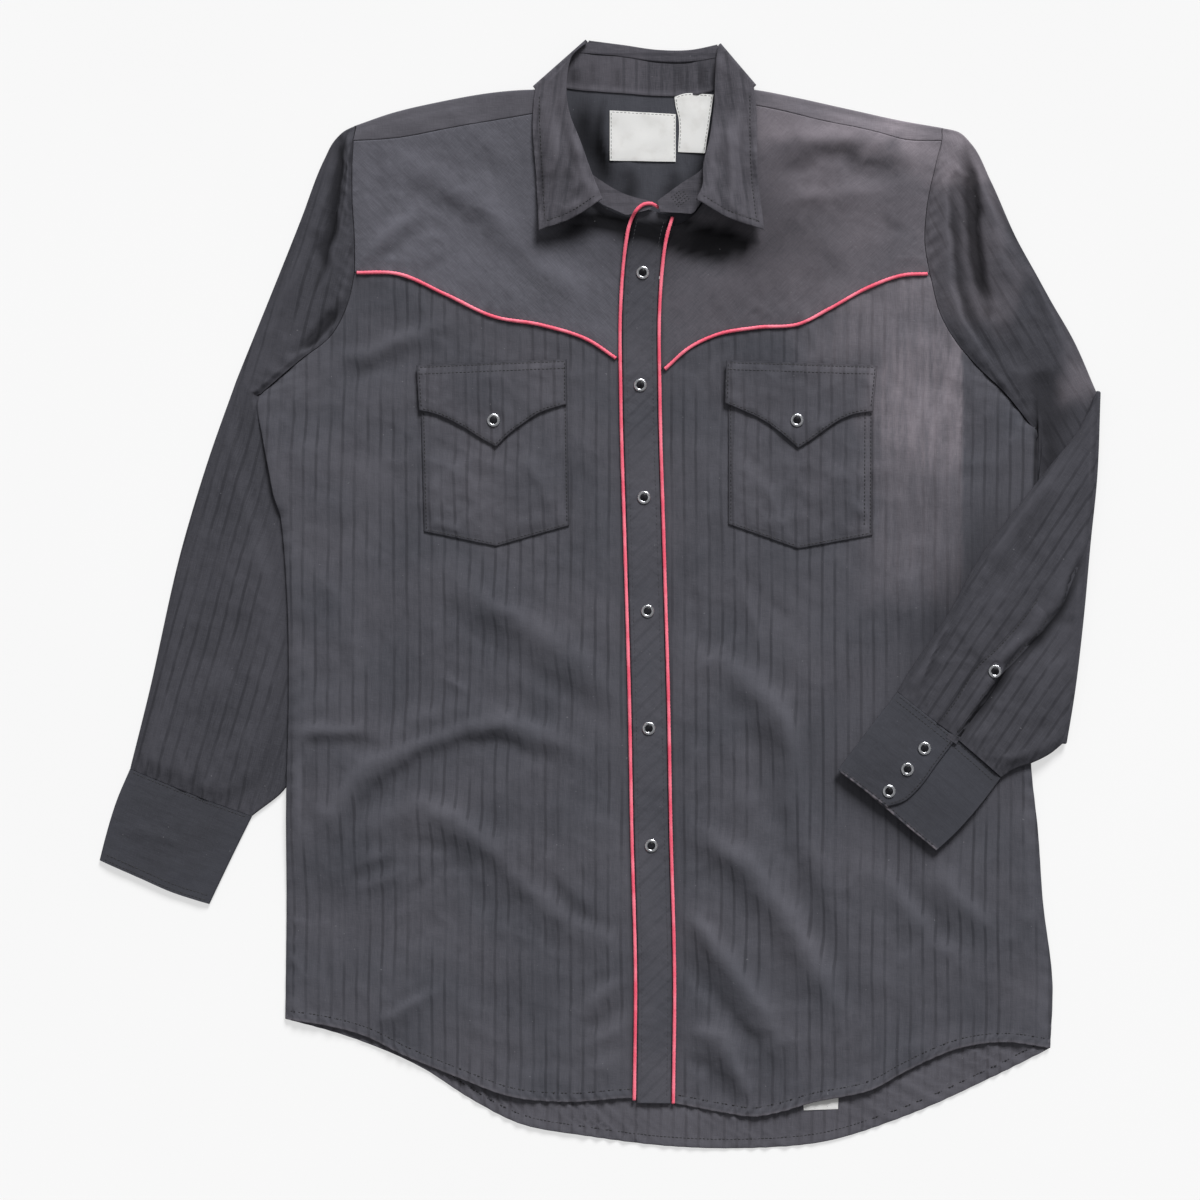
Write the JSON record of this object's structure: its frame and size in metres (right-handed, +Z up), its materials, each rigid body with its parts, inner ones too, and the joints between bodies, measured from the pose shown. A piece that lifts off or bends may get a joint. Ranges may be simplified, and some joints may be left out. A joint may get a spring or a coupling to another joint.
{
  "type": "western snap shirt",
  "caption": "Long-sleeved western shirt laid flat, one sleeve folded over, with pointed piped yokes, flap pockets, piped placket, snap fasteners and a curved shirt-tail hem.",
  "frame": {"origin": "middle of the laid-out shirt's outline, on the surface that it lies on", "axes": "+Y towards the collar, +X to the right of someone who looks down on it, +Z up from the surface"},
  "size_m": [0.8197, 0.908, 0.0143],
  "materials": {
    "back": "charcoal shirting with tonal satin stripes",
    "back_yoke": "charcoal shirting with tonal satin stripes",
    "front_left": "charcoal shirting with tonal satin stripes",
    "front_right": "charcoal shirting with tonal satin stripes, faded near the armhole",
    "yoke_left": "charcoal shirting, stripes on the bias",
    "yoke_right": "charcoal shirting, stripes on the bias, faded at the shoulder",
    "placket": "charcoal shirting, stripes on the bias",
    "sleeve_left": "charcoal shirting with tonal satin stripes",
    "sleeve_right": "charcoal shirting with tonal satin stripes",
    "sleeve_placket": "charcoal shirting with tonal satin stripes",
    "cuff_left": "charcoal shirting with tonal satin stripes",
    "cuff_right": "charcoal shirting with tonal satin stripes",
    "collar_leaf": "charcoal shirting with tonal satin stripes",
    "collar_stand": "charcoal shirting with tonal satin stripes",
    "pocket_left": "charcoal shirting with tonal satin stripes",
    "pocket_right": "charcoal shirting with tonal satin stripes",
    "flap_left": "charcoal shirting with tonal satin stripes",
    "flap_right": "charcoal shirting with tonal satin stripes",
    "piping_placket_left": "pink covered piping cord",
    "piping_placket_right": "pink covered piping cord",
    "piping_yoke_left": "pink covered piping cord",
    "piping_yoke_right": "pink covered piping cord",
    "label_main": "blank woven label",
    "label_care": "blank care label",
    "label_hem": "blank hem label",
    "snap_placket_1": "bright pronged ring round a black pearl cap",
    "snap_placket_2": "bright pronged ring round a black pearl cap",
    "snap_placket_3": "bright pronged ring round a black pearl cap",
    "snap_placket_4": "bright pronged ring round a black pearl cap",
    "snap_placket_5": "bright pronged ring round a black pearl cap",
    "snap_placket_6": "bright pronged ring round a black pearl cap",
    "snap_flap_left": "bright pronged ring round a black pearl cap",
    "snap_flap_right": "bright pronged ring round a black pearl cap",
    "snap_cuff_1": "bright pronged ring round a black pearl cap",
    "snap_cuff_2": "bright pronged ring round a black pearl cap",
    "snap_cuff_3": "bright pronged ring round a black pearl cap",
    "snap_sleeve": "bright pronged ring round a black pearl cap"
  },
  "bodies": {
    "root": {"back": "back", "back_yoke": "back_yoke", "front_left": "front_left", "front_right": "front_right", "yoke_left": "yoke_left", "yoke_right": "yoke_right", "placket": "placket", "sleeve_left": "sleeve_left", "sleeve_right": "sleeve_right", "sleeve_placket": "sleeve_placket", "cuff_left": "cuff_left", "cuff_right": "cuff_right", "collar_leaf": "collar_leaf", "collar_stand": "collar_stand", "pocket_left": "pocket_left", "pocket_right": "pocket_right", "flap_left": "flap_left", "flap_right": "flap_right", "piping_placket_left": "piping_placket_left", "piping_placket_right": "piping_placket_right", "piping_yoke_left": "piping_yoke_left", "piping_yoke_right": "piping_yoke_right", "label_main": "label_main", "label_care": "label_care", "label_hem": "label_hem", "snap_placket_1": "snap_placket_1", "snap_placket_2": "snap_placket_2", "snap_placket_3": "snap_placket_3", "snap_placket_4": "snap_placket_4", "snap_placket_5": "snap_placket_5", "snap_placket_6": "snap_placket_6", "snap_flap_left": "snap_flap_left", "snap_flap_right": "snap_flap_right", "snap_cuff_1": "snap_cuff_1", "snap_cuff_2": "snap_cuff_2", "snap_cuff_3": "snap_cuff_3", "snap_sleeve": "snap_sleeve"}
  },
  "joints": []
}
